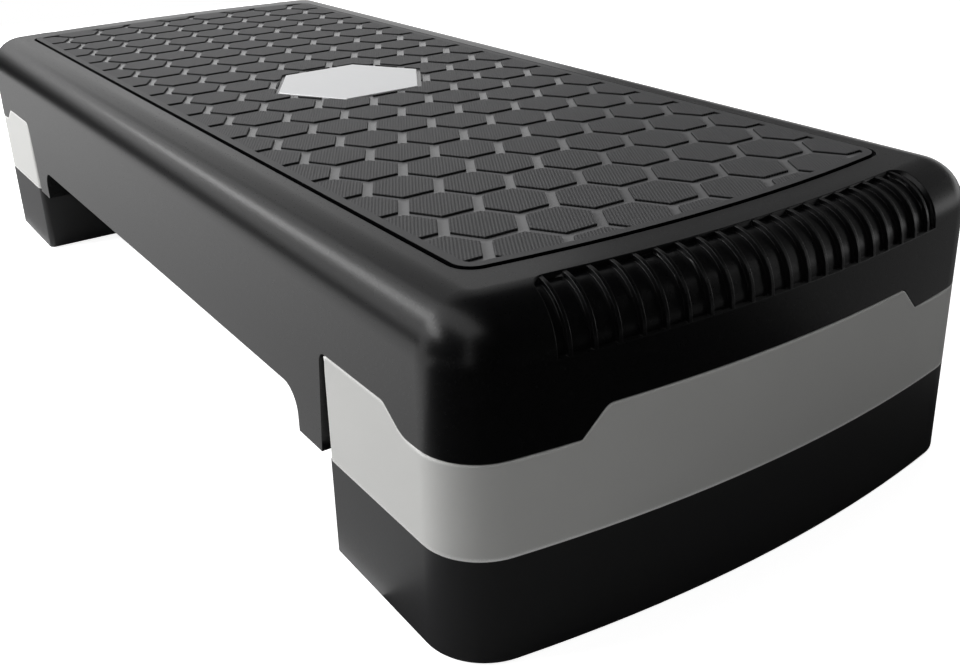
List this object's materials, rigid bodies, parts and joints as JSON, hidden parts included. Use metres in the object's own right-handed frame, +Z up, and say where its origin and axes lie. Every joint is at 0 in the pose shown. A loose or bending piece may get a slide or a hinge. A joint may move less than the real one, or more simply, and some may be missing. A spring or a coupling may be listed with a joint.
{
  "type": "aerobic step platform",
  "caption": "Low moulded step platform with bowed ends, a tread mat of raised six-sided pads, grey end feet and lift-off risers that set its height.",
  "frame": {"origin": "on the floor under the middle of the platform", "axes": "+X along the platform towards its right end, +Y across it towards its back, +Z up"},
  "size_m": [0.684, 0.284, 0.1415],
  "materials": {
    "deck_black": "fine-grained black polypropylene",
    "mat_rubber": "dark tread rubber, knurled on the pads and smooth in the grooves",
    "badge_silver": "satin, bare",
    "foot_grey": "fine-grained mid-grey polypropylene",
    "riser_black": "fine-grained black polypropylene",
    "pad_rubber": "soft black rubber",
    "screw_steel": "zinc-plated"
  },
  "bodies": {
    "riser_right": {"riser_right": "riser_black", "riser_pad_front_inner_right": "pad_rubber", "riser_pad_back_inner_right": "pad_rubber", "riser_pad_front_outer_right": "pad_rubber", "riser_pad_back_outer_right": "pad_rubber"},
    "deck": {"deck_shell": "deck_black", "tread_mat": "mat_rubber", "badge_plate": "badge_silver", "end_foot_right": "foot_grey", "foot_screws_right": "screw_steel", "foot_pad_front_inner_right": "pad_rubber", "foot_pad_back_inner_right": "pad_rubber", "foot_pad_front_outer_right": "pad_rubber", "foot_pad_back_outer_right": "pad_rubber", "end_foot_left": "foot_grey", "foot_screws_left": "screw_steel", "foot_pad_front_inner_left": "pad_rubber", "foot_pad_back_inner_left": "pad_rubber", "foot_pad_front_outer_left": "pad_rubber", "foot_pad_back_outer_left": "pad_rubber"},
    "riser_left": {"riser_left": "riser_black", "riser_pad_front_inner_left": "pad_rubber", "riser_pad_back_inner_left": "pad_rubber", "riser_pad_front_outer_left": "pad_rubber", "riser_pad_back_outer_left": "pad_rubber"}
  },
  "joints": [
    {"name": "deck_lift", "type": "slide", "parent": "riser_right", "child": "deck", "axis": [0, 0, 1], "range_m": [0, 0.06]},
    {"name": "riser_left_drop", "type": "slide", "parent": "deck", "child": "riser_left", "axis": [0, 0, -1], "range_m": [0, 0.06]}
  ],
  "couplings": [
    {"joint": "riser_left_drop", "follows": "deck_lift", "ratio": 1}
  ]
}
